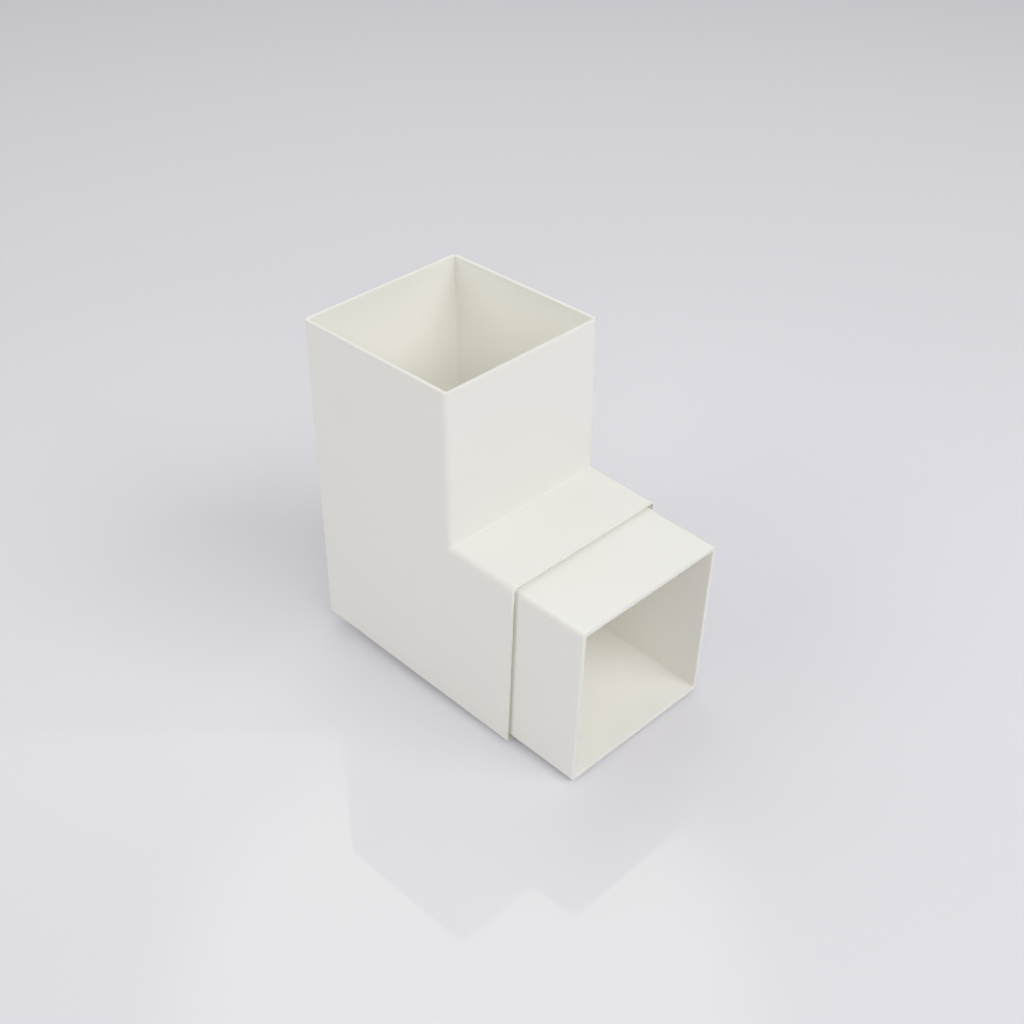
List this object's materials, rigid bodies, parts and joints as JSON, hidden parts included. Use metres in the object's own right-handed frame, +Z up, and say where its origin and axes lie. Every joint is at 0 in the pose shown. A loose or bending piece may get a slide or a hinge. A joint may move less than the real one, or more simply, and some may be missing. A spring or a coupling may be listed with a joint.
{
  "type": "downspout elbow",
  "caption": "Square white plastic downspout elbow with a plain socket mouth, a near right-angle bend and a stepped-in spigot outlet.",
  "frame": {"origin": "on the floor under the elbow's lowest edge level, under the middle of its length and width", "axes": "+Z up along the socket's axis and out of its mouth, +X the way the outlet points, Y across, with the two sides alike"},
  "size_m": [0.1256, 0.0688, 0.1275],
  "materials": {
    "white_plastic": "satin, milk white, as moulded"
  },
  "bodies": {
    "root": {"elbow": "white_plastic"}
  },
  "joints": []
}
